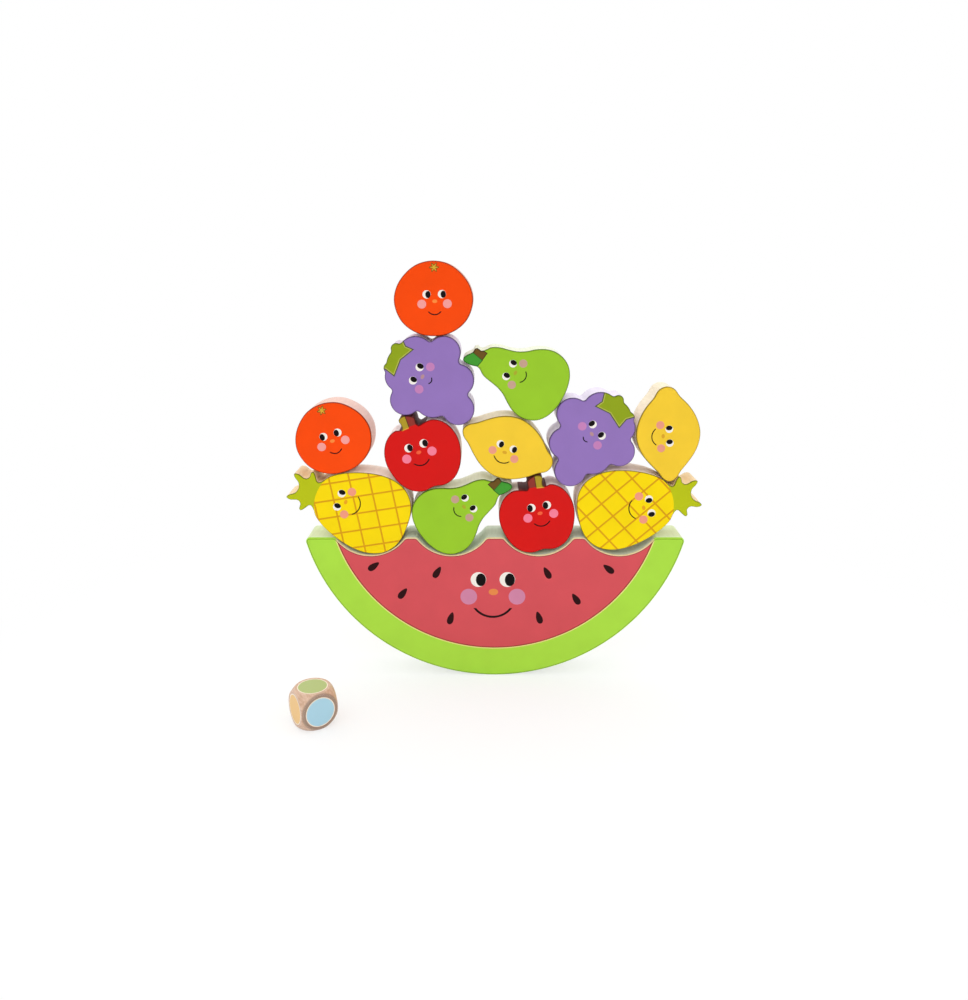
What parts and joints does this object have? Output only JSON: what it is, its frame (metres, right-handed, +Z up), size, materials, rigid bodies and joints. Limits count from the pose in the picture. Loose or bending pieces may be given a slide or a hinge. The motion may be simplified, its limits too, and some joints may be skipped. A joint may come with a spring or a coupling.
{
  "type": "fruit balance game",
  "caption": "Wooden balancing toy: thick cut-out fruit boards stacked on the scalloped rim of a rocking melon slice, with a small colour die to choose the next fruit.",
  "frame": {"origin": "the point where the melon slice touches the table, midway through its thickness", "axes": "+X to the player's right along the row of fruits, +Y away from the player through the boards' thickness, +Z up"},
  "size_m": [0.2943, 0.1109, 0.2996],
  "materials": {
    "melon": "satin paint on solid wood, pale tinted sides",
    "pineapple": "satin paint on solid wood, pale tinted sides",
    "pear": "satin paint on solid wood, pale tinted sides",
    "apple": "satin paint on solid wood, pale tinted sides",
    "orange": "satin paint on solid wood, pale tinted sides",
    "lemon": "satin paint on solid wood, pale tinted sides",
    "grapes": "satin paint on solid wood, pale tinted sides",
    "die": "clear-varnished beech with coloured spots"
  },
  "bodies": {
    "rocker": {"watermelon_rocker": "melon"},
    "pineapple_left": {"pineapple_left": "pineapple"},
    "pear_base": {"pear_base": "pear"},
    "apple_base": {"apple_base": "apple"},
    "pineapple_right": {"pineapple_right": "pineapple"},
    "orange_left": {"orange_left": "orange"},
    "apple_left": {"apple_left": "apple"},
    "lemon_centre": {"lemon_centre": "lemon"},
    "grapes_right": {"grapes_right": "grapes"},
    "lemon_right": {"lemon_right": "lemon"},
    "grapes_top": {"grapes_top": "grapes"},
    "pear_top": {"pear_top": "pear"},
    "orange_top": {"orange_top": "orange"},
    "die": {"colour_die": "die"}
  },
  "joints": [
    {"name": "pineapple_left_take_off", "type": "slide", "parent": "rocker", "child": "pineapple_left", "axis": [0, -1, 0], "range_m": [0, 0.06]},
    {"name": "pear_base_take_off", "type": "slide", "parent": "rocker", "child": "pear_base", "axis": [0, -1, 0], "range_m": [0, 0.06]},
    {"name": "apple_base_take_off", "type": "slide", "parent": "rocker", "child": "apple_base", "axis": [0, -1, 0], "range_m": [0, 0.06]},
    {"name": "pineapple_right_take_off", "type": "slide", "parent": "rocker", "child": "pineapple_right", "axis": [0, -1, 0], "range_m": [0, 0.06]},
    {"name": "orange_left_take_off", "type": "slide", "parent": "rocker", "child": "orange_left", "axis": [0, -1, 0], "range_m": [0, 0.06]},
    {"name": "apple_left_take_off", "type": "slide", "parent": "rocker", "child": "apple_left", "axis": [0, -1, 0], "range_m": [0, 0.06]},
    {"name": "lemon_centre_take_off", "type": "slide", "parent": "rocker", "child": "lemon_centre", "axis": [0, -1, 0], "range_m": [0, 0.06]},
    {"name": "grapes_right_take_off", "type": "slide", "parent": "rocker", "child": "grapes_right", "axis": [0, -1, 0], "range_m": [0, 0.06]},
    {"name": "lemon_right_take_off", "type": "slide", "parent": "rocker", "child": "lemon_right", "axis": [0, -1, 0], "range_m": [0, 0.06]},
    {"name": "grapes_top_take_off", "type": "slide", "parent": "rocker", "child": "grapes_top", "axis": [0, -1, 0], "range_m": [0, 0.06]},
    {"name": "pear_top_take_off", "type": "slide", "parent": "rocker", "child": "pear_top", "axis": [0, -1, 0], "range_m": [0, 0.06]},
    {"name": "orange_top_take_off", "type": "slide", "parent": "rocker", "child": "orange_top", "axis": [0, -1, 0], "range_m": [0, 0.06]},
    {"name": "die_pick_up", "type": "slide", "parent": "rocker", "child": "die", "axis": [0, 0, 1], "range_m": [0, 0.04]}
  ]
}
